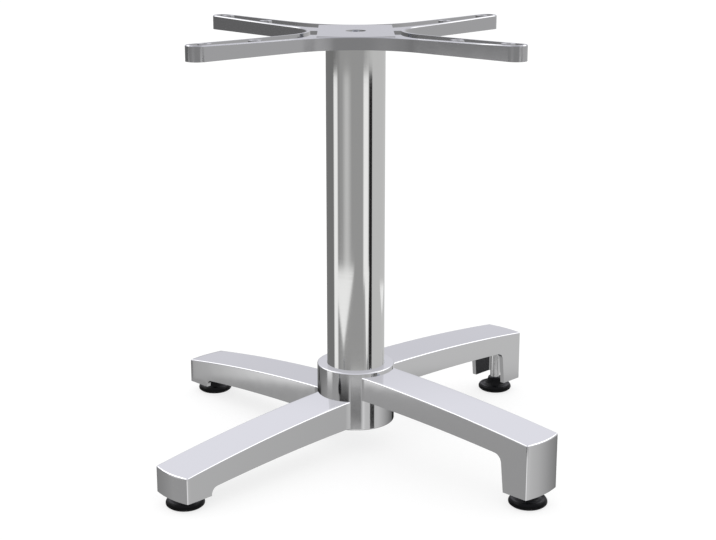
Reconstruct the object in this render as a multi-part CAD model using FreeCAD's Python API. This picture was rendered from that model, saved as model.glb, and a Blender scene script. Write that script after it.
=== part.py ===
import FreeCAD, Part
import math
import os

# Nesting table base: a round column on a hub with four legs at two heights, and a cross as its top.
# Millimetres, +Z up. The origin is on the floor, on the column's axis. The two tall legs point to +X,
# the two low legs to -X, and -Y is the front. A tall leg steps over a low leg of the next base.

# Column and hub
overall_height = 511.5
column_diameter = 70.0
column_wall = 2.0
column_seat_height = 70.8
hub_diameter = 94.5
hub_bottom_height = 31.7
hub_height = 73.1
hub_web = 6.0
hub_edge_chamfer = 1.5

# Legs, all of one reach and width. Heights are given at the hub, half way and at the end or the foot.
leg_width = 55.0
leg_reach = 290.0
leg_end_bow_radius = 100.0
leg_wall = 6.0
leg_top_wall = 6.0
leg_root_block = 27.0
leg_corner_radius = 2.0
leg_edge_chamfer = 1.4
leg_inner_radius = 3.0
leg_foot_draft = 6.0
glide_from_end = 18.3
tall_leg = {
    "top": (99.1, 93.8, 82.9),
    "under": (70.1, 66.8, 61.1),
    "foot_height": 18.2,
    "foot_length": 32.5,
    "notch_radius": 10.0,
}
low_leg = {
    "top": (68.2, 60.0, 45.2),
    "under": (34.2, 30.1, 23.5),
    "foot_height": 14.4,
    "foot_length": 34.3,
    "notch_radius": 8.0,
}
boss_diameter = 13.0
boss_rib = 4.0
boss_rib_setback = 8.0

# Leg screws, two to a leg, put in from inside the hub
screw_diameter = 8.0
screw_length = 22.0
screw_head_diameter = 13.0
screw_head_height = 5.0
screw_socket = 5.0
screw_socket_depth = 2.5
screw_pitch = 13.9
screw_seat_wall = 5.9
screw_hole_spare = 2.0

# Levelling glides
glide_height = 18.0
glide_disc_diameter = 44.2
glide_disc_height = 8.6
glide_rim_bevel = 1.8
glide_neck_diameter = 21.0
glide_top_diameter = 17.6
glide_stem_diameter = 10.0
glide_stem_length = 34.0
glide_stem_foot = 4.0
glide_hole_spare = 2.0

# Top plate: a cross of four tapered arms with a rim above and below a thin web. Its top is slightly
# dished, so that the pads round the outer holes carry the table top.
spider_thickness = 17.5
outer_hole_square = 320.0
inner_hole_square = 220.0
tabletop_hole_diameter = 6.5
tip_past_hole = 22.9
spider_tip_width = 26.0
spider_axis_width = 52.6
spider_front_blend_radius = 102.0
spider_side_blend_radius = 64.0
spider_rim = 4.5
spider_top_recess = 4.5
spider_under_recess = 5.0
spider_edge_chamfer = 1.0
spider_dish = 3.0
hole_pad_diameter = 15.0
panel_length = 88.0
panel_width = 132.6
panel_tie = 6.0
column_pad_diameter = 84.0
spigot_height = 10.0
nut_pocket_diameter = 24.0
nut_pocket_depth = 14.0

# Tie rod through the column, with its nuts and washers
rod_diameter = 10.0
rod_hole_diameter = 11.0
rod_past_nut = 2.0
rod_chamfer = 1.0
nut_across_flats = 17.0
nut_height = 8.0
top_washer_diameter = 21.0
top_washer_thickness = 2.0
clamp_plate_diameter = 60.0
clamp_plate_thickness = 4.0

# Clearances
tube_clearance = 0.3
leg_face_clearance = 0.1
thread_clearance = 0.05
screw_clearance = 0.3
glide_seat_clearance = 0.3

# Each leg's direction in degrees from +X, and its kind
legs = {
    "front_right": (-45.0, tall_leg),
    "back_right": (45.0, tall_leg),
    "front_left": (-135.0, low_leg),
    "back_left": (135.0, low_leg),
}

# What follows from the sizes above
hub_radius = hub_diameter / 2
column_radius = column_diameter / 2
leg_half = leg_width / 2
glide_radius = leg_reach - glide_from_end
spider_reach = outer_hole_square / math.sqrt(2) + tip_past_hole
dish_low = overall_height - spider_dish
dish_radius = (spider_reach**2 + spider_dish**2) / (2 * spider_dish)
screw_seat = hub_radius - screw_seat_wall
spider_bottom = overall_height - spider_thickness
pocket_floor = dish_low - nut_pocket_depth
top_nut_seat = pocket_floor + top_washer_thickness
rod_top = top_nut_seat + nut_height + rod_past_nut
clamp_plate_bottom = column_seat_height - hub_web - clamp_plate_thickness
bottom_nut_bottom = clamp_plate_bottom - nut_height
rod_bottom = bottom_nut_bottom - rod_past_nut
stem_top = glide_stem_foot + glide_stem_length
boss_bottom = glide_height + glide_seat_clearance

axis_foot = FreeCAD.Vector(0, 0, 0)
up = FreeCAD.Vector(0, 0, 1)


def vec(x, y, z):
    return FreeCAD.Vector(x, y, z)


def line(a, b):
    return Part.LineSegment(a, b).toShape()


def arc(a, b, c):
    return Part.Arc(a, b, c).toShape()


def turned_to(shape, degrees):
    """A copy turned about the column's axis."""
    copy = shape.copy()
    copy.rotate(axis_foot, up, degrees)
    return copy


def across(outline, half):
    """Extrudes a closed outline in the XZ plane to both sides of it."""
    face = Part.Face(Part.Wire(outline))
    face.translate(vec(0, -half, 0))
    return face.extrude(vec(0, 2 * half, 0))


def upright(outline, height):
    return Part.Face(Part.Wire(outline)).extrude(vec(0, 0, height))


def cylinder(radius, bottom, top, x=0.0, y=0.0):
    return Part.makeCylinder(radius, top - bottom, vec(x, y, bottom))


def bore_along_x(radius, x0, x1, z):
    return Part.makeCylinder(radius, x1 - x0, vec(x0, 0, z), vec(1, 0, 0))


def hexagon(across_flats, bottom, height):
    radius = across_flats / math.sqrt(3)
    angles = [math.radians(60 * i) for i in range(7)]
    corners = [vec(radius * math.cos(a), radius * math.sin(a), bottom) for a in angles]
    return Part.Face(Part.makePolygon(corners)).extrude(vec(0, 0, height))


def circle_through(p, q, r):
    """Centre and radius of the circle through three (s, z) points of a leg's side view."""
    ax, az = q[0] - p[0], q[1] - p[1]
    bx, bz = r[0] - p[0], r[1] - p[1]
    turn = 2 * (ax * bz - az * bx)
    a2 = ax * ax + az * az
    b2 = bx * bx + bz * bz
    cx = (bz * a2 - az * b2) / turn
    cz = (ax * b2 - bx * a2) / turn
    return p[0] + cx, p[1] + cz, math.hypot(cx, cz)


def crown(heights, stations):
    """Height function of the arc through three heights at three distances from the axis."""
    cx, cz, radius = circle_through(*zip(stations, heights))
    side = math.copysign(1, heights[0] - cz)
    return lambda s: cz + side * math.sqrt(radius * radius - (s - cx) ** 2)


def crowned_edge(height_at, s0, s1, drop=0.0):
    points = [vec(s, 0, height_at(s) - drop) for s in (s0, (s0 + s1) / 2, s1)]
    return arc(*points)


# Legs: each is drawn along +X and turned to its place

def leg_curves(kind):
    mid = (hub_radius + leg_reach) / 2
    foot_inner = leg_reach - kind["foot_length"]
    top = crown(kind["top"], (hub_radius, mid, leg_reach))
    under = crown(kind["under"], (hub_radius, mid, foot_inner))
    return top, under


def leg_plan(inset, s0):
    """Upright prism inside a leg's sides and its bowed end, inset by a wall, from s0 outwards."""
    half = leg_half - inset
    bow_centre = leg_reach - math.sqrt(leg_end_bow_radius**2 - leg_half**2)
    bow = leg_end_bow_radius - inset
    corner = bow_centre + math.sqrt(bow * bow - half * half)
    outline = [
        line(vec(s0, half, 0), vec(s0, -half, 0)),
        line(vec(s0, -half, 0), vec(corner, -half, 0)),
        arc(vec(corner, -half, 0), vec(bow_centre + bow, 0, 0), vec(corner, half, 0)),
        line(vec(corner, half, 0), vec(s0, half, 0)),
    ]
    return upright(outline, overall_height)


def up_the_end(edge):
    """True for the two upright edges at a leg's end."""
    ends = [v.Point for v in edge.Vertexes]
    at_corner = all(abs(p.x - leg_reach) < 0.01 and abs(abs(p.y) - leg_half) < 0.01 for p in ends)
    return at_corner and abs(ends[0].y - ends[-1].y) < 0.01


def round_the_top(edge, top):
    """True for the edges round a leg's top, apart from the one inside the hub."""
    on_top = all(abs(v.Z - top(v.X)) < 0.01 for v in edge.Vertexes)
    return on_top and edge.CenterOfMass.x > hub_radius


def leg_outside(kind):
    """Crowned beam, down-turned foot and bowed end, with the edges that show rounded."""
    top, under = leg_curves(kind)
    s_start = hub_radius / 2
    s_past = leg_reach + leg_half
    foot_z = kind["foot_height"]
    foot_inner = leg_reach - kind["foot_length"]
    rise = under(foot_inner) - foot_z
    notch = foot_inner - rise * math.tan(math.radians(leg_foot_draft))
    side = [
        crowned_edge(top, s_start, s_past),
        line(vec(s_past, 0, top(s_past)), vec(s_past, 0, foot_z)),
        line(vec(s_past, 0, foot_z), vec(foot_inner, 0, foot_z)),
        line(vec(foot_inner, 0, foot_z), vec(notch, 0, under(notch))),
        crowned_edge(under, notch, s_start),
        line(vec(s_start, 0, under(s_start)), vec(s_start, 0, top(s_start))),
    ]
    body = across(side, leg_half).common(leg_plan(0, s_start))
    notch_line = vec(notch, 0, under(notch))
    in_notch = [e for e in body.Edges if e.CenterOfMass.distanceToPoint(notch_line) < 0.1]
    body = body.makeFillet(kind["notch_radius"], in_notch)
    body = body.makeFillet(leg_corner_radius, [e for e in body.Edges if up_the_end(e)])
    body = body.makeChamfer(leg_edge_chamfer, [e for e in body.Edges if round_the_top(e, top)])
    return body.cut(cylinder(hub_radius + leg_face_clearance, 0, overall_height))


def leg_cavity(kind):
    """The open underside, from the root block to the end wall, between the sides and under the top."""
    top, _ = leg_curves(kind)
    s_root = hub_radius + leg_root_block
    s_past = leg_reach + leg_half
    side = [
        crowned_edge(top, s_root, s_past, drop=leg_top_wall),
        line(vec(s_past, 0, top(s_past) - leg_top_wall), vec(s_past, 0, 0)),
        line(vec(s_past, 0, 0), vec(s_root, 0, 0)),
        line(vec(s_root, 0, 0), vec(s_root, 0, top(s_root) - leg_top_wall)),
    ]
    cavity = across(side, leg_half).common(leg_plan(leg_wall, s_root))
    corners = [e for e in cavity.Edges if abs(e.tangentAt(e.FirstParameter).z) > 0.99]
    return cavity.makeFillet(leg_inner_radius, corners)


def glide_boss(kind):
    """Round boss that hangs from the top wall for the glide's stem, with a rib to the end wall."""
    top, _ = leg_curves(kind)
    boss_top = top(glide_radius) - leg_top_wall / 2
    boss = cylinder(boss_diameter / 2, boss_bottom, boss_top, glide_radius)
    rib_bottom = boss_bottom + boss_rib_setback
    rib_length = leg_reach - glide_radius
    rib_corner = vec(glide_radius, -boss_rib / 2, rib_bottom)
    rib = Part.makeBox(rib_length, boss_rib, boss_top - rib_bottom, rib_corner)
    return boss.fuse(rib)


def screw_heights(kind):
    middle = (kind["top"][0] + kind["under"][0]) / 2
    return middle - screw_pitch / 2, middle + screw_pitch / 2


def leg(kind):
    body = leg_outside(kind).cut(leg_cavity(kind)).fuse(glide_boss(kind))
    stem_hole_radius = glide_stem_diameter / 2 + thread_clearance
    body = body.cut(cylinder(stem_hole_radius, 0, stem_top + glide_hole_spare, glide_radius))
    hole_radius = screw_diameter / 2 + thread_clearance
    hole_end = screw_seat + screw_length + screw_hole_spare
    for z in screw_heights(kind):
        body = body.cut(bore_along_x(hole_radius, screw_seat, hole_end, z))
    return body.removeSplitter()


def leg_screw(z):
    """Low-head socket screw along +X at a height, its head towards the column's axis."""
    head = cylinder(screw_head_diameter / 2, 0, screw_head_height)
    shank = cylinder(screw_diameter / 2, screw_head_height, screw_head_height + screw_length)
    screw = head.fuse(shank).cut(hexagon(screw_socket, 0, screw_socket_depth))
    screw.rotate(axis_foot, vec(0, 1, 0), 90)
    screw.translate(vec(screw_seat - screw_head_height, 0, z))
    return screw


def leg_screws():
    screws = []
    for degrees, kind in legs.values():
        screws += [turned_to(leg_screw(z), degrees) for z in screw_heights(kind)]
    return Part.makeCompound(screws)


# Hub and column

def base_hub():
    """Sleeve with a web across it: the column sits on the web, and the legs are screwed to the wall."""
    top = hub_bottom_height + hub_height
    bore_radius = column_radius + tube_clearance
    body = cylinder(hub_radius, hub_bottom_height, top)
    body = body.makeChamfer(hub_edge_chamfer, [e for e in body.Edges if e.Closed])
    body = body.cut(cylinder(bore_radius, column_seat_height, top))
    body = body.cut(cylinder(bore_radius, hub_bottom_height, column_seat_height - hub_web))
    body = body.cut(cylinder(rod_hole_diameter / 2, hub_bottom_height, column_seat_height))
    bore_start = column_radius - screw_head_height
    for degrees, kind in legs.values():
        for z in screw_heights(kind):
            seat = bore_along_x(screw_head_diameter / 2 + screw_clearance, bore_start, screw_seat, z)
            hole = bore_along_x(screw_diameter / 2 + screw_clearance, bore_start, hub_diameter, z)
            body = body.cut(turned_to(seat, degrees)).cut(turned_to(hole, degrees))
    return body


def column_tube():
    outside = cylinder(column_radius, column_seat_height, spider_bottom)
    return outside.cut(cylinder(column_radius - column_wall, column_seat_height, spider_bottom))


def tie_rod():
    rod = cylinder(rod_diameter / 2, rod_bottom, rod_top)
    return rod.makeChamfer(rod_chamfer, [e for e in rod.Edges if e.Closed])


def washer(diameter, bottom, thickness):
    hole = cylinder(rod_hole_diameter / 2, bottom, bottom + thickness)
    return cylinder(diameter / 2, bottom, bottom + thickness).cut(hole)


def nut(bottom):
    hole = cylinder(rod_diameter / 2 + thread_clearance, bottom, bottom + nut_height)
    return hexagon(nut_across_flats, bottom, nut_height).cut(hole)


# Top plate

def arm_side():
    """Taper angle of an arm's sides, and the distance from the axis to the line of a side."""
    tip_radius = spider_tip_width / 2
    tip_centre = spider_reach - tip_radius
    half = spider_axis_width / 2
    spread = math.hypot(tip_centre, half)
    taper = math.acos(tip_radius / spread) - math.atan2(tip_centre, half)
    return taper, half * math.cos(taper)


def cross_outline(inset, z):
    """Outline of the cross, inset by a rim: round tips, tapered sides and wide blends between arms."""
    taper, side_line = arm_side()
    tip_radius = spider_tip_width / 2 - inset
    tip_centre = spider_reach - spider_tip_width / 2
    half_gap = math.radians(45) + taper
    edges = []
    first = None
    last = None
    for quarter in range(4):
        arm = math.radians(45 + 90 * quarter)
        blend = spider_front_blend_radius if quarter % 2 == 0 else spider_side_blend_radius
        blend_radius = blend + inset
        corner = side_line * math.sqrt(2) / (math.cos(taper) + math.sin(taper))
        centre_reach = corner + blend / math.sin(half_gap)

        def tip_point(angle):
            x = tip_centre * math.cos(arm) + tip_radius * math.cos(arm + angle)
            y = tip_centre * math.sin(arm) + tip_radius * math.sin(arm + angle)
            return vec(x, y, z)

        side_angle = math.radians(90) - taper
        tip_start, tip_end = tip_point(-side_angle), tip_point(side_angle)
        between = arm + math.radians(45)
        centre = vec(centre_reach * math.cos(between), centre_reach * math.sin(between), z)

        def blend_point(angle):
            away = between + math.pi + angle
            return centre + vec(blend_radius * math.cos(away), blend_radius * math.sin(away), 0)

        swing = math.radians(90) - half_gap
        blend_start, blend_end = blend_point(swing), blend_point(-swing)
        if last is None:
            first = tip_start
        else:
            edges.append(line(last, tip_start))
        edges.append(arc(tip_start, tip_point(0), tip_end))
        edges.append(line(tip_end, blend_start))
        edges.append(arc(blend_start, blend_point(0), blend_end))
        last = blend_end
    edges.append(line(last, first))
    return edges


def dish_height(radius):
    return dish_low + dish_radius - math.sqrt(dish_radius**2 - radius**2)


def dish(drop):
    """Large ball whose lowest part gives the top its dish, lowered by a depth under that top."""
    return Part.makeSphere(dish_radius, vec(0, 0, dish_low - drop + dish_radius), vec(0, 1, 0))


def middle_block(length, width):
    corner = vec(-length / 2, -width / 2, spider_bottom)
    return Part.makeBox(length, width, spider_thickness, corner)


def top_spider():
    """Cast cross with raised tips: rims round a web, a flush panel, hole pads, and a column spigot."""
    body = upright(cross_outline(0, spider_bottom), spider_thickness).cut(dish(0))
    top_edges = [e for e in body.Edges if all(v.Z > dish_low - 0.01 for v in e.Vertexes)]
    body = body.makeChamfer(spider_edge_chamfer, top_edges)

    recess = upright(cross_outline(spider_rim, spider_bottom), spider_thickness)
    recess = recess.common(dish(spider_top_recess))
    recess = recess.cut(middle_block(panel_length, panel_width))
    recess = recess.cut(middle_block(spider_reach, panel_tie))
    body = body.cut(recess)

    hollow = upright(cross_outline(spider_rim, spider_bottom), spider_under_recess)
    hollow = hollow.cut(cylinder(column_pad_diameter / 2, spider_bottom, overall_height))
    body = body.cut(hollow)

    spigot_radius = column_radius - column_wall - tube_clearance
    body = body.fuse(cylinder(spigot_radius, spider_bottom - spigot_height, spider_bottom))
    body = body.cut(cylinder(nut_pocket_diameter / 2, pocket_floor, overall_height))
    body = body.cut(cylinder(rod_hole_diameter / 2, spider_bottom - spigot_height, overall_height))
    inner_pad_top = dish_height(inner_hole_square / math.sqrt(2))
    for square, pad_top in ((outer_hole_square, overall_height), (inner_hole_square, inner_pad_top)):
        for x in (-square / 2, square / 2):
            for y in (-square / 2, square / 2):
                pad = cylinder(hole_pad_diameter / 2, spider_bottom, pad_top, x, y)
                hole = cylinder(tabletop_hole_diameter / 2, spider_bottom, overall_height, x, y)
                body = body.fuse(pad).cut(hole)
    return body


# Levelling glides: each is drawn on the axis and moved out to its leg

def glide_foot():
    """Moulded foot: a disc with bevelled rims and a conical neck, bored for its stem."""
    disc_r = glide_disc_diameter / 2
    rim_r = disc_r - glide_rim_bevel
    corners = [
        vec(0, 0, 0),
        vec(rim_r, 0, 0),
        vec(disc_r, 0, glide_rim_bevel),
        vec(disc_r, 0, glide_disc_height - glide_rim_bevel),
        vec(rim_r, 0, glide_disc_height),
        vec(glide_neck_diameter / 2, 0, glide_disc_height),
        vec(glide_top_diameter / 2, 0, glide_height),
        vec(0, 0, glide_height),
        vec(0, 0, 0),
    ]
    foot = Part.Face(Part.makePolygon(corners)).revolve(axis_foot, up, 360)
    return foot.cut(cylinder(glide_stem_diameter / 2 + thread_clearance, glide_stem_foot, glide_height))


def glide_stem():
    return cylinder(glide_stem_diameter / 2, glide_stem_foot, stem_top)


def at_glide(shape, degrees):
    moved = shape.copy()
    moved.translate(vec(glide_radius, 0, 0))
    return turned_to(moved, degrees)


parts = {
    "top_spider": top_spider(),
    "column_tube": column_tube(),
    "base_hub": base_hub(),
    "leg_screws": leg_screws(),
    "tie_rod": tie_rod(),
    "top_washer": washer(top_washer_diameter, pocket_floor, top_washer_thickness),
    "top_nut": nut(top_nut_seat),
    "clamp_plate": washer(clamp_plate_diameter, clamp_plate_bottom, clamp_plate_thickness),
    "bottom_nut": nut(bottom_nut_bottom),
}
for name, (degrees, kind) in legs.items():
    parts["leg_" + name] = turned_to(leg(kind), degrees)
    parts["glide_foot_" + name] = at_glide(glide_foot(), degrees)
    parts["glide_stem_" + name] = at_glide(glide_stem(), degrees)

os.makedirs("parts", exist_ok=True)
for name, shape in parts.items():
    shape.exportStep("parts/" + name + ".step")
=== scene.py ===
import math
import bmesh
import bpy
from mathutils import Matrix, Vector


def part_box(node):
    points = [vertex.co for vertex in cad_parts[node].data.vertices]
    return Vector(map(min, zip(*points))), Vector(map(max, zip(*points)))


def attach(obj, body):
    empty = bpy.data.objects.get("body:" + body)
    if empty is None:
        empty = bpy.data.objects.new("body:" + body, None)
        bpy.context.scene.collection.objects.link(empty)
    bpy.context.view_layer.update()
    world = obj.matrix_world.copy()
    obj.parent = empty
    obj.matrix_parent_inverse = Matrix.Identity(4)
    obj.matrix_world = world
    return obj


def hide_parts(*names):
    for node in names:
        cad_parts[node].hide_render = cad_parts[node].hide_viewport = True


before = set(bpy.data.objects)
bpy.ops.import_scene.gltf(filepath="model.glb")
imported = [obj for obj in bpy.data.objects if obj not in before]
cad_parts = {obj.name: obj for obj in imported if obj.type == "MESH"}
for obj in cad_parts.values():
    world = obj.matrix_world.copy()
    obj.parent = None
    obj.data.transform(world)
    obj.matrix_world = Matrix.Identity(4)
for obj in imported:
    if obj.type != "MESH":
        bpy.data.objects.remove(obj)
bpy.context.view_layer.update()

# %% [markdown]
# A nesting table base: four cast legs round a hub, a bright column and a cast top plate.
# Each leg, the hub and the glides get a finished mesh here, with the small rounded edges that catch the
# light on polished castings. The column is rebuilt with more steps, because a mirror shows facets. The
# plate and the hidden fasteners keep their own meshes.

hub_low, hub_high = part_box("base_hub")
column_low, column_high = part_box("column_tube")
hub_radius = hub_high.x
column_radius = column_high.x

# %% [markdown]
# Every colour is written as the sRGB hex value that the eye sees, and one function turns it to the linear
# value that a shader expects. One more function adds a node with its settings and links, so that each
# material reads as a short recipe.

# %% Colour and node helpers
def linear(hex_colour):
    channels = [int(hex_colour[i:i + 2], 16) / 255 for i in (1, 3, 5)]
    return [c / 12.92 if c <= 0.04045 else ((c + 0.055) / 1.055) ** 2.4 for c in channels] + [1.0]


def add(tree, kind, links=(), **settings):
    """A node of that kind. Settings go to its properties or its inputs, links join its inputs to outputs."""
    node = tree.nodes.new("ShaderNode" + kind)
    for name, value in settings.items():
        if hasattr(node, name):
            setattr(node, name, value)
        else:
            node.inputs[name.replace("_", " ")].default_value = value
    for socket, source in dict(links).items():
        tree.links.new(source, node.inputs[socket])
    return node


def new_material(name, colour, metallic, roughness):
    material = bpy.data.materials.new(name)
    material.use_nodes = True
    tree = material.node_tree
    shader = tree.nodes["Principled BSDF"]
    shader.inputs["Base Color"].default_value = linear(colour)
    shader.inputs["Metallic"].default_value = metallic
    shader.inputs["Roughness"].default_value = roughness
    place = add(tree, "TexCoord").outputs["Object"]
    return material, tree, shader, place


# %% [markdown]
# The legs and the hub are aluminium castings, ground and then polished on a buff. A buff leaves a bright
# face that is never as flat as glass: broad soft waves a few centimetres long, and a haze that comes and
# goes. A metal's own colour tints its reflections, so the base colour is the reflected tint. Only the
# outside is buffed. The hollow under a leg keeps the rough matt skin of the mould, drawn near black as painted
# shade.

# %% Buffed cast aluminium
buff_wave = 0.030
haze_patch = 0.012
sand_grain = 0.0015

def buffed_aluminium():
    material, tree, shader, place = new_material("buffed cast aluminium", "#E4E4E5", 1.0, 0.07)
    haze = add(tree, "TexNoise", {"Vector": place}, Scale=1 / haze_patch, Detail=3.0)
    spread = add(tree, "MapRange", {"Value": haze.outputs["Fac"]}, To_Min=0.05, To_Max=0.08)
    tree.links.new(spread.outputs["Result"], shader.inputs["Roughness"])
    wave = add(tree, "TexNoise", {"Vector": place}, Scale=1 / buff_wave, Detail=1.0)
    bump = add(tree, "Bump", {"Height": wave.outputs["Fac"]}, Strength=0.012, Distance=0.002)
    tree.links.new(bump.outputs["Normal"], shader.inputs["Normal"])
    return material


# The skin in the hollow is rough and matt as cast, and its near black tone is painted shade for the inside of the
# hollow.
def cast_skin_painted_shade():
    material, tree, shader, place = new_material("as cast skin darkened as painted shade", "#2C2C2E", 0.0, 0.7)
    sand = add(tree, "TexNoise", {"Vector": place}, Scale=1 / sand_grain, Detail=3.0)
    tone = add(tree, "MapRange", {"Value": sand.outputs["Fac"]}, To_Min=0.55, To_Max=0.85)
    tree.links.new(tone.outputs["Result"], shader.inputs["Roughness"])
    bump = add(tree, "Bump", {"Height": sand.outputs["Fac"]}, Strength=0.4, Distance=0.0003)
    tree.links.new(bump.outputs["Normal"], shader.inputs["Normal"])
    return material


# %% [markdown]
# The column is drawn tube, polished all round and bright plated, so it mirrors the room in clean upright
# bands. The polishing belt runs round the tube and leaves very fine rings, which blur the reflection
# only a little.

# %% Bright plated tube
belt_ring = 0.0015

def bright_tube():
    material, tree, shader, place = new_material("bright plated steel tube", "#E5E5E4", 1.0, 0.05)
    rings = add(tree, "Mapping", {"Vector": place}, Scale=(0.02, 0.02, 1.0))
    grain = add(tree, "TexNoise", {"Vector": rings.outputs["Vector"]}, Scale=1 / belt_ring, Detail=2.0)
    spread = add(tree, "MapRange", {"Value": grain.outputs["Fac"]}, To_Min=0.035, To_Max=0.07)
    tree.links.new(spread.outputs["Result"], shader.inputs["Roughness"])
    return material


# %% [markdown]
# The top plate is the same alloy, but only tumbled after casting, because a table top hides it. Tumbling
# leaves a half bright skin with a faint grain about half a millimetre across. It is drawn at one millimetre, so
# that it shows at this distance.

# %% Tumbled cast aluminium
tumble_grain = 0.001
cloud_patch = 0.025

def tumbled_aluminium():
    material, tree, shader, place = new_material("tumbled cast aluminium", "#C2C2C4", 1.0, 0.11)
    grain = add(tree, "TexNoise", {"Vector": place}, Scale=1 / tumble_grain, Detail=2.0)
    bump = add(tree, "Bump", {"Height": grain.outputs["Fac"]}, Strength=0.03, Distance=0.0002)
    cloud = add(tree, "TexNoise", {"Vector": place}, Scale=1 / cloud_patch, Detail=3.0)
    spread = add(tree, "MapRange", {"Value": cloud.outputs["Fac"]}, To_Min=0.09, To_Max=0.13)
    tree.links.new(spread.outputs["Result"], shader.inputs["Roughness"])
    tree.links.new(bump.outputs["Normal"], shader.inputs["Normal"])
    return material


# %% [markdown]
# The glides are moulded nylon with a glossy skin. A plastic has no metallic share: its black comes from
# the pigment, and its shine from a thin even reflection. Fine scuffs break the shine in patches.

# %% Black nylon and zinc plate
def black_nylon():
    material, tree, shader, place = new_material("moulded black nylon", "#050506", 0.0, 0.2)
    shader.inputs["IOR"].default_value = 1.53
    shader.inputs["Specular IOR Level"].default_value = 0.1
    scuff = add(tree, "TexNoise", {"Vector": place}, Scale=220.0, Detail=4.0)
    spread = add(tree, "MapRange", {"Value": scuff.outputs["Fac"]}, To_Min=0.16, To_Max=0.30)
    tree.links.new(spread.outputs["Result"], shader.inputs["Roughness"])
    return material


def zinc_plate():
    material, tree, shader, place = new_material("bright zinc plated steel", "#AEB2B8", 1.0, 0.30)
    spangle = add(tree, "TexNoise", {"Vector": place}, Scale=300.0, Detail=2.0)
    spread = add(tree, "MapRange", {"Value": spangle.outputs["Fac"]}, To_Min=0.24, To_Max=0.38)
    tree.links.new(spread.outputs["Result"], shader.inputs["Roughness"])
    return material


aluminium = buffed_aluminium()
# The mould skin's dark tone is painted shade, laid on the faces inside each leg's hollow.
mould_skin_painted_shade = cast_skin_painted_shade()
tube_metal = bright_tube()
plate_metal = tumbled_aluminium()
nylon = black_nylon()
zinc = zinc_plate()

# %% [markdown]
# A finished piece is a mesh object that rides on a body of the frame. The helper below shades it smooth,
# keeps edges of more than thirty degrees sharp, and weights the normals by face area. Without the
# weighting, the narrow strips of a rounded edge would bend the reflection across the whole flat face
# beside them.

# %% From bmesh to a finished piece
sharp_angle = math.radians(30)

def finish_piece(bm, name, materials, body, nodes=(), weighted=True):
    mesh = bpy.data.meshes.new(name)
    bm.to_mesh(mesh)
    bm.free()
    for material in materials:
        mesh.materials.append(material)
    mesh.shade_smooth()
    mesh.set_sharp_from_angle(angle=sharp_angle)
    piece = bpy.data.objects.new(name, mesh)
    bpy.context.scene.collection.objects.link(piece)
    if weighted:
        normals = piece.modifiers.new("weighted normals", "WEIGHTED_NORMAL")
        normals.keep_sharp = True
    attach(piece, body)
    if nodes:
        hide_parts(*nodes)
    return piece


def open_edges(bm):
    return sum(1 for e in bm.edges if not e.is_manifold)


def round_edges(bm, edges, radius, segments):
    bmesh.ops.bevel(
        bm, geom=edges, offset=radius, offset_type="OFFSET", segments=segments, profile=0.5,
        affect="EDGES", clamp_overlap=True, material=-1,
    )


# %% [markdown]
# Whatever was turned on a lathe is a half section spun about its axis. Only the corners of the section are
# given, and the rims are rounded with bevels after the spin.

# %% Spinning a section
turn_steps = 128

def spun(points, steps=turn_steps, closed=True):
    bm = bmesh.new()
    verts = [bm.verts.new((r, 0, z)) for r, z in points]
    pairs = list(zip(verts, verts[1:]))
    if closed:
        pairs.append((verts[-1], verts[0]))
    edges = [bm.edges.new(pair) for pair in pairs]
    bmesh.ops.spin(
        bm, geom=verts + edges, cent=(0, 0, 0), axis=(0, 0, 1), angle=math.tau, steps=steps, use_merge=True,
    )
    bmesh.ops.remove_doubles(bm, verts=bm.verts, dist=1e-6)
    bmesh.ops.recalc_face_normals(bm, faces=bm.faces)
    return bm


def rim(bm, radius, height):
    """The edges of the circle at that radius and height."""
    def on_it(v):
        return abs(math.hypot(v.co.x, v.co.y) - radius) < 1e-5 and abs(v.co.z - height) < 1e-5

    return [e for e in bm.edges if all(on_it(v) for v in e.verts)]


# %% [markdown]
# A leg is a box beam with a crowned top, an open underside and a foot that turns down at the end. It
# could be carved from one block with booleans, but a box that is cut into stations keeps clean strips
# for the reflections to run along. The block is cut across at each station, its top and its underside
# are lifted to gentle arcs, the foot is extruded down round three sides, and the inside is pushed up.

# %% Leg sizes, in metres
leg_half = 0.0275
leg_reach = 0.290
leg_wall = 0.006
leg_root_block = 0.027
end_bow_radius = 0.100
foot_draft = math.radians(6)
edge_round = 0.0017
face_gap = 0.0001
glide_reach = 0.2717
boss_radius = 0.0065
boss_rib = 0.004
boss_rib_setback = 0.008
stem_radius = 0.005
glide_height = 0.018
root_flare = 0.0068
root_flare_radius = 0.030
lower_edge_round = 0.0007
leg_strips = 20
tall_leg = {
    "top": (0.0991, 0.0938, 0.0829),
    "under": (0.0701, 0.0668, 0.0611),
    "foot_height": 0.0182,
    "foot_length": 0.0325,
    "notch_radius": 0.010,
}
low_leg = {
    "top": (0.0682, 0.0600, 0.0452),
    "under": (0.0342, 0.0301, 0.0235),
    "foot_height": 0.0144,
    "foot_length": 0.0343,
    "notch_radius": 0.008,
}


def crown(heights, stations):
    """Height function of the circle through three heights at three distances from the column's axis."""
    (ax, az), (bx, bz), (cx, cz) = zip(stations, heights)
    turn = 2 * ((bx - ax) * (cz - az) - (bz - az) * (cx - ax))
    b2 = (bx - ax) ** 2 + (bz - az) ** 2
    c2 = (cx - ax) ** 2 + (cz - az) ** 2
    middle_x = ax + ((cz - az) * b2 - (bz - az) * c2) / turn
    middle_z = az + ((bx - ax) * c2 - (cx - ax) * b2) / turn
    radius = math.hypot(ax - middle_x, az - middle_z)
    return lambda s: middle_z + math.sqrt(radius * radius - (s - middle_x) ** 2)


# %% [markdown]
# The block starts as a cube. Cuts across it give the stations, and the ends are bent before the heights
# are set, because the crown follows each station's true distance from the column.

# %% Leg block, cut into stations and crowned
def cut_across(bm, axis, at):
    plane = {"geom": bm.verts[:] + bm.edges[:] + bm.faces[:], "dist": 1e-6}
    bmesh.ops.bisect_plane(bm, plane_co=axis * at, plane_no=axis, **plane)


def is_close(a, b):
    return abs(a - b) < 1e-5


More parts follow.
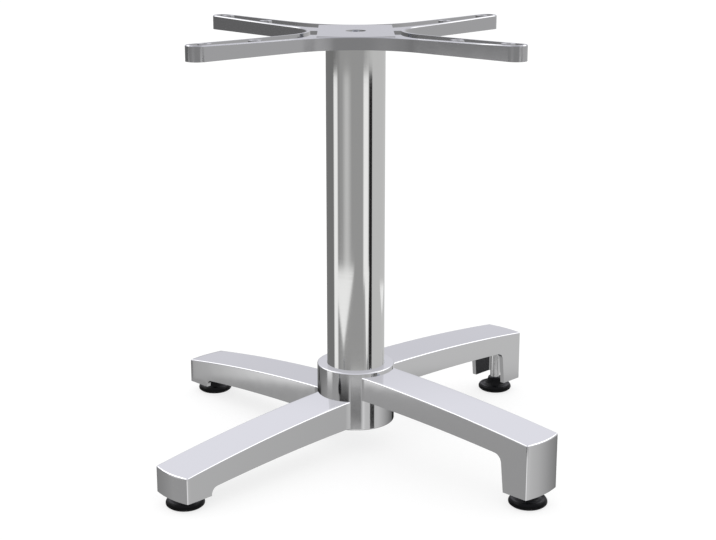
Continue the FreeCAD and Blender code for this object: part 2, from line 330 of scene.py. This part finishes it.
def bend_ends(bm):
    """Bows the outer end, and hollows the inner end to fit the hub."""
    bow_centre = leg_reach - math.sqrt(end_bow_radius ** 2 - leg_half ** 2)
    for v in bm.verts:
        y = v.co.y
        if is_close(v.co.x, leg_reach) or is_close(v.co.x, leg_reach - leg_wall):
            radius = end_bow_radius - (leg_reach - v.co.x)
            v.co.x = bow_centre + math.sqrt(radius * radius - y * y)
        elif is_close(v.co.x, hub_radius):
            v.co.x = math.sqrt((hub_radius + face_gap) ** 2 - y * y)


def flare_root(bm):
    """Curves the last few millimetres of both sides out to the hub, as the fillet of the casting does."""
    corner = math.sqrt((hub_radius + face_gap) ** 2 - leg_half ** 2)
    for step in range(1, 5):
        sides = [f for f in bm.faces if abs(f.normal.y) > 0.9 and abs(f.calc_center_median().y) > leg_half - 1e-4]
        near = [f for f in sides if min(v.co.x for v in f.verts) < hub_radius]
        geom = near + list({e for f in near for e in f.edges}) + list({v for f in near for v in f.verts})
        across = Vector((corner + root_flare * step / 4, 0, 0))
        bmesh.ops.bisect_plane(bm, geom=geom, plane_co=across, plane_no=(1, 0, 0), dist=1e-6)
    for v in bm.verts:
        inward = corner + root_flare - v.co.x
        if inward > 0 and abs(v.co.y) > leg_half - 1e-4:
            v.co.y += math.copysign(inward ** 2 / (2 * root_flare_radius), v.co.y)
            if inward > root_flare - 1e-5:
                v.co.x = math.sqrt((hub_radius + face_gap) ** 2 - v.co.y ** 2)


def leg_lines(kind):
    """Height functions of the top and the underside, and where the underside turns down to the foot."""
    half_way = (hub_radius + leg_reach) / 2
    foot_inner = leg_reach - kind["foot_length"]
    top = crown(kind["top"], (hub_radius, half_way, leg_reach))
    under = crown(kind["under"], (hub_radius, half_way, foot_inner))
    rise = under(foot_inner) - kind["foot_height"]
    return top, under, foot_inner, foot_inner - rise * math.tan(foot_draft)


def leg_block(top, under, notch):
    """Closed beam along +X. Gives it back with its lower faces that grow to the foot or open the cavity."""
    bm = bmesh.new()
    bmesh.ops.create_cube(bm, size=1)
    length = leg_reach - hub_radius
    bmesh.ops.scale(bm, vec=(length, 2 * leg_half, 1), verts=bm.verts)
    bmesh.ops.translate(bm, vec=(hub_radius + length / 2, 0, 0.5), verts=bm.verts)
    root = hub_radius + leg_root_block
    end_wall = leg_reach - leg_wall
    even = [hub_radius + length * i / leg_strips for i in range(1, leg_strips)]
    set_by_form = [root, notch, end_wall]
    even = [s for s in even if all(abs(s - fixed) > 0.004 for fixed in set_by_form)]
    for s in sorted(even + set_by_form):
        cut_across(bm, Vector((1, 0, 0)), s)
    inside = leg_half - leg_wall
    for y in (-inside, -inside / 2, 0, inside / 2, inside):
        cut_across(bm, Vector((0, 1, 0)), y)
    foot = []
    cavity = []
    for face in bm.faces:
        middle = face.calc_center_median()
        if face.normal.z > -0.5:
            continue
        if middle.x > notch and (abs(middle.y) > inside or middle.x > end_wall):
            foot.append(face)
        elif root < middle.x < end_wall and abs(middle.y) < inside:
            cavity.append(face)
    bend_ends(bm)
    for v in bm.verts:
        v.co.z = top(v.co.x) if v.co.z > 0.5 else under(v.co.x)
    return bm, foot, cavity


# %% [markdown]
# Extruding the marked lower faces gives the foot and the hollow in one way: new faces are made, and their
# corners are then moved to the right height. The notch behind the foot is rounded as a mould would be.

# %% Foot turned down, inside pushed up, notch rounded
def leg_beam(kind):
    top, under, foot_inner, notch = leg_lines(kind)
    bm, foot, cavity = leg_block(top, under, notch)
    for faces, height in ((foot, lambda x: kind["foot_height"]), (cavity, lambda x: top(x) - leg_wall)):
        grown = bmesh.ops.extrude_face_region(bm, geom=faces)
        for v in grown["geom"]:
            if isinstance(v, bmesh.types.BMVert):
                v.co.z = height(v.co.x)
                if faces is foot and is_close(v.co.x, notch):
                    v.co.x = foot_inner
    bmesh.ops.delete(bm, geom=[f for f in foot + cavity if f.is_valid], context="FACES")
    bmesh.ops.remove_doubles(bm, verts=bm.verts, dist=1e-6)
    corner_height = under(notch)
    in_notch = [
        e for e in bm.edges
        if all(is_close(v.co.x, notch) and is_close(v.co.z, corner_height) for v in e.verts)
        and min(abs(v.co.y) for v in e.verts) > leg_half - leg_wall - 1e-5
    ]
    turn = math.radians(90 - 8)
    round_edges(bm, in_notch, kind["notch_radius"] * math.tan(turn / 2), 8)
    return bm


# %% [markdown]
# A buffing wheel never leaves a sharp edge. The upper rims and the outer corners get a round edge that
# catches the light, and the lower rim a much smaller one. Edges are chosen by the tilt of their faces.

# %% Edges broken by the buff
def outer_edges(bm, keep):
    """Edges between two outer faces, chosen by the smaller and the larger tilt of their two faces."""
    chosen = []
    for e in bm.edges:
        if len(e.link_faces) == 2 and e.calc_face_angle() > sharp_angle:
            low, high = sorted((f.normal.z for f in e.link_faces))
            if keep(e, low, high):
                chosen.append(e)
    return chosen


def paint_shade_in_hollow(bm, kind):
    """Gives the faces of the hollow the second material, the rough mould skin, whose near black tone is painted
    shade.
    """
    top = leg_lines(kind)[0]
    root = hub_radius + leg_root_block
    for face in bm.faces:
        middle = face.calc_center_median()
        between_sides = abs(middle.y) < leg_half - leg_wall + 1e-5
        within = between_sides and root - 1e-5 < middle.x < leg_reach - 0.75 * leg_wall
        ceiling = abs(middle.z - top(middle.x) + leg_wall) < 0.0015
        if within and (abs(face.normal.z) < 0.5 or ceiling):
            face.material_index = 1


def leg_mesh(kind):
    bm = leg_beam(kind)
    bm.normal_update()
    flare_root(bm)
    bm.normal_update()
    paint_shade_in_hollow(bm, kind)
    wall_line = leg_half - 1e-5
    end_line = leg_reach - 0.001

    def at_hub(v):
        return is_close(math.hypot(v.co.x, v.co.y), hub_radius + face_gap)

    def end_upright_or_rim(e, low, high):
        at_corner = all(abs(v.co.y) > wall_line and v.co.x > end_line for v in e.verts)
        upright = max(abs(low), abs(high)) < 0.2 and at_corner
        rim = abs(low) < 0.3 and high > 0.9 and not all(at_hub(v) for v in e.verts)
        return upright or rim

    def lower_rim(e, low, high):
        outside = all(abs(v.co.y) > wall_line or v.co.x > leg_reach - 0.004 for v in e.verts)
        return low < -0.5 and abs(high) < 0.2 and outside

    round_edges(bm, outer_edges(bm, end_upright_or_rim), edge_round, 4)
    round_edges(bm, outer_edges(bm, lower_rim), lower_edge_round, 2)
    bmesh.ops.recalc_face_normals(bm, faces=bm.faces)
    return bm


# %% [markdown]
# Inside the foot a bored boss takes the glide's stem, and a rib ties it to the end wall. Both reach into
# the walls, so they are separate shells that overlap, and no boolean is needed.

# %% Boss and rib for the glide's stem
def add_boss(bm, kind):
    """A bored boss under the top wall, and a rib from it to the end wall. Both reach into the walls."""
    top = leg_lines(kind)[0]
    boss_low = glide_height + 0.0003
    boss_high = top(glide_reach) - leg_wall / 2
    boss = spun([
        (boss_radius, boss_low), (boss_radius, boss_high), (stem_radius + 0.0001, boss_high),
        (stem_radius + 0.0001, boss_low),
    ], steps=48)
    round_edges(boss, rim(boss, boss_radius, boss_low), 0.0008, 2)
    bmesh.ops.translate(boss, vec=(glide_reach, 0, 0), verts=boss.verts)
    rib = bmesh.new()
    bmesh.ops.create_cube(rib, size=1)
    rib_length = leg_reach - leg_wall / 2 - glide_reach - boss_radius + 0.001
    rib_low = boss_low + boss_rib_setback
    bmesh.ops.scale(rib, vec=(rib_length, boss_rib, boss_high - rib_low), verts=rib.verts)
    rib_middle = (leg_reach - leg_wall / 2 - rib_length / 2, 0, (boss_high + rib_low) / 2)
    bmesh.ops.translate(rib, vec=rib_middle, verts=rib.verts)
    for extra in (boss, rib):
        mesh = bpy.data.meshes.new("extra")
        extra.to_mesh(mesh)
        extra.free()
        bm.from_mesh(mesh)
        bpy.data.meshes.remove(mesh)


legs = {
    "front_right": (-45, tall_leg),
    "back_right": (45, tall_leg),
    "front_left": (-135, low_leg),
    "back_left": (135, low_leg),
}
for place, (degrees, kind) in legs.items():
    bm = leg_mesh(kind)
    add_boss(bm, kind)
    print(place, "leg:", len(bm.faces), "faces,", open_edges(bm), "open edges")
    bmesh.ops.rotate(bm, verts=bm.verts, cent=(0, 0, 0), matrix=Matrix.Rotation(math.radians(degrees), 3, "Z"))
    leg = finish_piece(
        bm, "cast_leg_" + place, [aluminium, mould_skin_painted_shade], "base", ["leg_" + place],
    )
    leg.visible_glossy = False

# %% [markdown]
# The hub is a turned sleeve with a web across its bore. The column stands on the web, so the gap between
# the two shows as a thin dark ring, and the hub's rims get the widest rounding of all.

# %% Hub
hub_bottom = hub_low.z
hub_top = hub_high.z
bore_radius = column_radius + 0.0003
column_seat = column_low.z
web = 0.006
rod_hole = 0.0055
bm = spun([
    (hub_radius, hub_bottom), (hub_radius, hub_top), (bore_radius, hub_top), (bore_radius, column_seat),
    (rod_hole, column_seat), (rod_hole, column_seat - web), (bore_radius, column_seat - web),
    (bore_radius, hub_bottom),
])
round_edges(bm, rim(bm, hub_radius, hub_top) + rim(bm, hub_radius, hub_bottom), 0.0015, 5)
round_edges(bm, rim(bm, bore_radius, hub_top) + rim(bm, bore_radius, hub_bottom), 0.0005, 2)
print("hub:", len(bm.faces), "faces,", open_edges(bm), "open edges")
hub = finish_piece(bm, "hub_sleeve", [aluminium], "base", ["base_hub"])
hub.visible_glossy = False

# %% [markdown]
# The column is rebuilt too, with more steps than its CAD mesh has, because a mirror shows every facet.

# %% Column
column_wall = 0.002
bm = spun([
    (column_radius, column_low.z), (column_radius, column_high.z),
    (column_radius - column_wall, column_high.z), (column_radius - column_wall, column_low.z),
], steps=192)
print("column:", len(bm.faces), "faces,", open_edges(bm), "open edges")
finish_piece(bm, "column_tube_polished", [tube_metal], "base", ["column_tube"], weighted=False)

# %% [markdown]
# A glide is a moulded disc with a rounded rim, a shallow dish and a neck that narrows upwards. The stem
# stands in a blind hole, so the section ends at the hole's wall.

# %% Glides
disc_radius = 0.0221
disc_height = 0.0086
neck_radius = 0.0105
neck_top_radius = 0.0088
stem_foot = 0.004


def glide_mesh():
    bm = spun([
        (0.0, 0.0), (0.0185, 0.0), (disc_radius, 0.0028), (disc_radius, 0.0058), (0.0202, disc_height),
        (0.0185, disc_height), (0.0165, 0.0072), (0.0125, 0.0085), (neck_radius, 0.0125),
        (neck_top_radius, glide_height), (stem_radius + 0.0001, glide_height),
        (stem_radius + 0.0001, stem_foot), (0.0, stem_foot),
    ], steps=96, closed=False)
    for radius, height, size in (
        (0.0185, 0.0, 0.0012), (disc_radius, 0.0028, 0.0012), (disc_radius, 0.0058, 0.0012),
        (0.0202, disc_height, 0.0007), (0.0185, disc_height, 0.0007), (0.0165, 0.0072, 0.0012),
        (0.0125, 0.0085, 0.0015), (neck_top_radius, glide_height, 0.0006),
    ):
        round_edges(bm, rim(bm, radius, height), size, 3)
    return bm


for place, (degrees, kind) in legs.items():
    bm = glide_mesh()
    if place == "front_right":
        print("glide:", len(bm.faces), "faces,", open_edges(bm), "open edges")
    bmesh.ops.translate(bm, vec=(glide_reach, 0, 0), verts=bm.verts)
    bmesh.ops.rotate(bm, verts=bm.verts, cent=(0, 0, 0), matrix=Matrix.Rotation(math.radians(degrees), 3, "Z"))
    foot = "glide_foot_" + place
    finish_piece(bm, "nylon_" + foot, [nylon], "glide_" + place, [foot])

# %% [markdown]
# The top plate and the fasteners already have the right shape, so they only get a finish. The plate is
# kept out of mirror rays, as the legs and the hub are, so that the pieces hardly show in each other.

# %% Finishes for what stays
finishes = {"top_spider": plate_metal}
for name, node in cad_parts.items():
    if node.hide_render:
        continue
    node.data.materials.clear()
    node.data.materials.append(finishes.get(name, zinc))
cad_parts["top_spider"].visible_glossy = False

# %% [markdown]
# A studio for bright metal is mostly what the metal sees. Here it is a pale room with a few soft cards and
# dark flags, painted on the world's background. A photographer works with cards in a handful of tones, so
# this room has only five and a lamp. Where they stand was chosen so that the column gets clear
# upright bands of light and dark. Matt surfaces see plain white all round instead, which gives the floor
# its soft even light.

# %% Walls round the object
# A wall is a list of compass bearings, in degrees from +X towards +Y, each with its tone. Between two
# bearings the tone changes evenly. The column and the plate see the upper wall, the legs' ends the lower.
tones = {"lamp": 2.3, "white": 1.0, "pale": 0.60, "grey": 0.36, "dim": 0.20, "black": 0.02}
upper_wall = [
    (-180, "dim"), (-150, "grey"), (-60, "grey"), (-30, "pale"), (80, "pale"), (100, "dim"), (180, "dim"),
]
lower_wall = [
    (-180, "grey"), (-120, "grey"), (-100, "white"), (-80, "white"), (-60, "pale"), (-20, "pale"),
    (40, "dim"), (130, "dim"), (180, "grey"),
]
lower_wall_start, lower_wall_full = -0.325, -0.335


def wall_ring(tree, bearing, wall):
    ramp = add(tree, "ValToRGB", {"Fac": bearing})
    points = ramp.color_ramp.elements
    while len(points) < len(wall):
        points.new(0.5)
    for point, (degrees, tone) in zip(points, wall):
        point.position = (degrees + 180) / 360
    for point, (degrees, tone) in zip(points, wall):
        point.color = (tones[tone], tones[tone], tones[tone], 1)
    return ramp.outputs["Color"]


def blend_by_height(tree, height, start, full, above, below):
    share = add(tree, "MapRange", {"Value": height}, From_Min=start, From_Max=full).outputs["Result"]
    return add(tree, "MixRGB", {"Fac": share, "Color1": above, "Color2": below}).outputs["Color"]


# %% [markdown]
# A card is a bearing, a half width at its head and at its foot, a soft edge, a highest and a lowest height,
# and a tone. Most are upright. The three that narrow downwards give the foot of the column its V shaped
# lights, and the black ones round the hub draw the dark shapes on the hub and on the sides of the legs.

# %% Cards
card_fade = 0.0025
column_cards = [
    (-175, 10, 10, 3, -0.13, -0.33, "white"),
    (-125, 12, 12, 8, -0.13, -0.27, "pale"),
    (-50, 10, 10, 3, -0.13, -0.27, "white"),
    (-30, 7, 7, 1, -0.13, -0.33, "black"),
]
wedges = [
    (-140, 45, 2, 3, -0.26, -0.31, "white"),
    (-45, 10, 2, 2, -0.26, -0.32, "white"),
    (40, 20, 1, 2, -0.27, -0.29, "white"),
]
hub_cards = [
    (-125, 15, 15, 3, -0.335, -0.37, "black"),
    (-90, 18, 18, 4, -0.335, -0.37, "dim"),
    (-40, 7, 7, 1, -0.335, -0.37, "black"),
    (95, 45, 45, 4, -0.335, -0.37, "black"),
]
soft_boxes = [
    (165, 34, 34, 8, 0.76, 0.46, "lamp"),
    (15, 34, 34, 8, 0.76, 0.46, "lamp"),
]


def add_card(tree, room, degrees, height, card):
    centre, head, foot, soft, top, bottom, tone = card
    level = tones[tone]
    off = add(tree, "Math", {0: degrees}, operation="SUBTRACT")
    off.inputs[1].default_value = centre
    turned = add(tree, "Math", {0: off.outputs[0]}, operation="WRAP")
    turned.inputs[1].default_value = 180
    turned.inputs[2].default_value = -180
    away = add(tree, "Math", {0: turned.outputs[0]}, operation="ABSOLUTE")
    lost = add(tree, "MapRange", {"Value": height}, From_Min=top, From_Max=bottom, To_Max=head - foot)
    reach = add(tree, "Math", {0: away.outputs[0], 1: lost.outputs["Result"]}, operation="ADD")
    across = add(tree, "MapRange", {"Value": reach.outputs[0]}, From_Min=head + soft, From_Max=head - soft)
    under = add(tree, "MapRange", {"Value": height}, From_Min=top + card_fade, From_Max=top - card_fade)
    over = add(tree, "MapRange", {"Value": height}, From_Min=bottom - card_fade, From_Max=bottom + card_fade)
    band = add(tree, "Math", {0: under.outputs["Result"], 1: over.outputs["Result"]}, operation="MULTIPLY")
    share = add(tree, "Math", {0: band.outputs[0], 1: across.outputs["Result"]}, operation="MULTIPLY")
    mixed = add(tree, "MixRGB", {"Fac": share.outputs[0], "Color1": room}, Color2=(level, level, level, 1))
    return mixed.outputs["Color"]


# %% [markdown]
# Above the horizon the room is a pale ceiling. It is even where the leg tops look and darker straight
# overhead, so that the flat tops keep their tone from above too. A bright soft box at each side makes every
# rounded upper edge draw a thin white line.

# %% World
horizon_tint = "#F4F4FC"
ceiling_low, ceiling_even, overhead, zenith = 0.78, 1.0, 1.15, 0.72
even_light = 1.12


def studio_world():
    world = bpy.data.worlds.new("studio")
    world.use_nodes = True
    tree = world.node_tree
    tree.nodes.clear()
    toward = add(tree, "TexCoord").outputs["Generated"]
    parts = add(tree, "SeparateXYZ", {"Vector": toward})
    height = parts.outputs["Z"]
    angle = add(tree, "Math", {0: parts.outputs["Y"], 1: parts.outputs["X"]}, operation="ARCTAN2")
    turn = add(tree, "MapRange", {"Value": angle.outputs[0]}, From_Min=-math.pi, From_Max=math.pi)
    bearing = turn.outputs["Result"]
    degrees = add(tree, "MapRange", {"Value": bearing}, To_Min=-180.0, To_Max=180.0).outputs["Result"]
    upper = wall_ring(tree, bearing, upper_wall)
    lower = wall_ring(tree, bearing, lower_wall)
    room = blend_by_height(tree, height, lower_wall_start, lower_wall_full, upper, lower)
    for card in column_cards + wedges + hub_cards:
        room = add_card(tree, room, degrees, height, card)
    rise = add(
        tree, "MapRange", {"Value": height}, From_Min=0.28, From_Max=0.43, To_Min=ceiling_low,
        To_Max=ceiling_even,
    )
    bright = add(tree, "MapRange", {"Value": height}, From_Min=0.60, From_Max=0.85, To_Max=overhead - ceiling_even)
    dim = add(tree, "MapRange", {"Value": height}, From_Min=0.88, From_Max=0.96, To_Max=zenith - overhead)
    risen = add(tree, "Math", {0: rise.outputs["Result"], 1: bright.outputs["Result"]}, operation="ADD")
    total = add(tree, "Math", {0: risen.outputs[0], 1: dim.outputs["Result"]}, operation="ADD")
    ceiling = add(tree, "VectorMath", {"Scale": total.outputs[0]}, operation="SCALE")
    ceiling.inputs[0].default_value = linear(horizon_tint)[:3]
    room = blend_by_height(tree, height, 0.08, 0.02, ceiling.outputs[0], room)
    for card in soft_boxes:
        room = add_card(tree, room, degrees, height, card)
    mirrored = add(tree, "Background", {"Color": room})
    white = add(tree, "Background", Strength=even_light)
    white.inputs["Color"].default_value = (1, 1, 1, 1)
    in_mirror = add(tree, "LightPath").outputs["Is Glossy Ray"]
    both = add(tree, "MixShader", {"Fac": in_mirror, 1: white.outputs[0], 2: mirrored.outputs[0]})
    add(tree, "OutputWorld", {"Surface": both.outputs[0]})
    world.cycles.sampling_method = "NONE"
    bpy.context.scene.world = world
    print("studio:", len(tree.nodes), "nodes")


studio_world()

# %% [markdown]
# The floor is a sheet of white acrylic that is lit from behind. It glows a little itself, so the base
# stands on near white with a faint shadow, and mirror rays pass it by.

# %% Floor
floor_size = 24.0
bm = bmesh.new()
bmesh.ops.create_grid(bm, x_segments=1, y_segments=1, size=floor_size / 2)
mesh = bpy.data.meshes.new("floor")
bm.to_mesh(mesh)
bm.free()
floor = bpy.data.objects.new("floor", mesh)
bpy.context.scene.collection.objects.link(floor)
lit_floor, tree, shader, place = new_material("lit white acrylic", "#8C8C8C", 0.0, 0.9)
shader.inputs["Emission Color"].default_value = (1, 1, 1, 1)
shader.inputs["Emission Strength"].default_value = 0.76
shader.inputs["Specular IOR Level"].default_value = 0.0
mesh.materials.append(lit_floor)
floor.visible_glossy = False

# %% [markdown]
# The camera stands where the photograph was taken from, about 1.7 m in front and 0.68 m up, and looks
# down by fifteen degrees. The long lens keeps the legs' proportions.

# %% Camera
camera_place = (-0.0089, -1.7128, 0.6839)
camera_down = 15.12
camera_turn = -0.39
camera_lens = 73.69
camera_data = bpy.data.cameras.new("camera")
camera_data.lens = camera_lens
camera_data.sensor_width = 36
camera = bpy.data.objects.new("camera", camera_data)
camera.location = camera_place
camera.rotation_euler = (math.radians(90 - camera_down), 0, math.radians(camera_turn))
bpy.context.scene.collection.objects.link(camera)
bpy.context.scene.camera = camera
bpy.context.scene.view_settings.view_transform = "Standard"
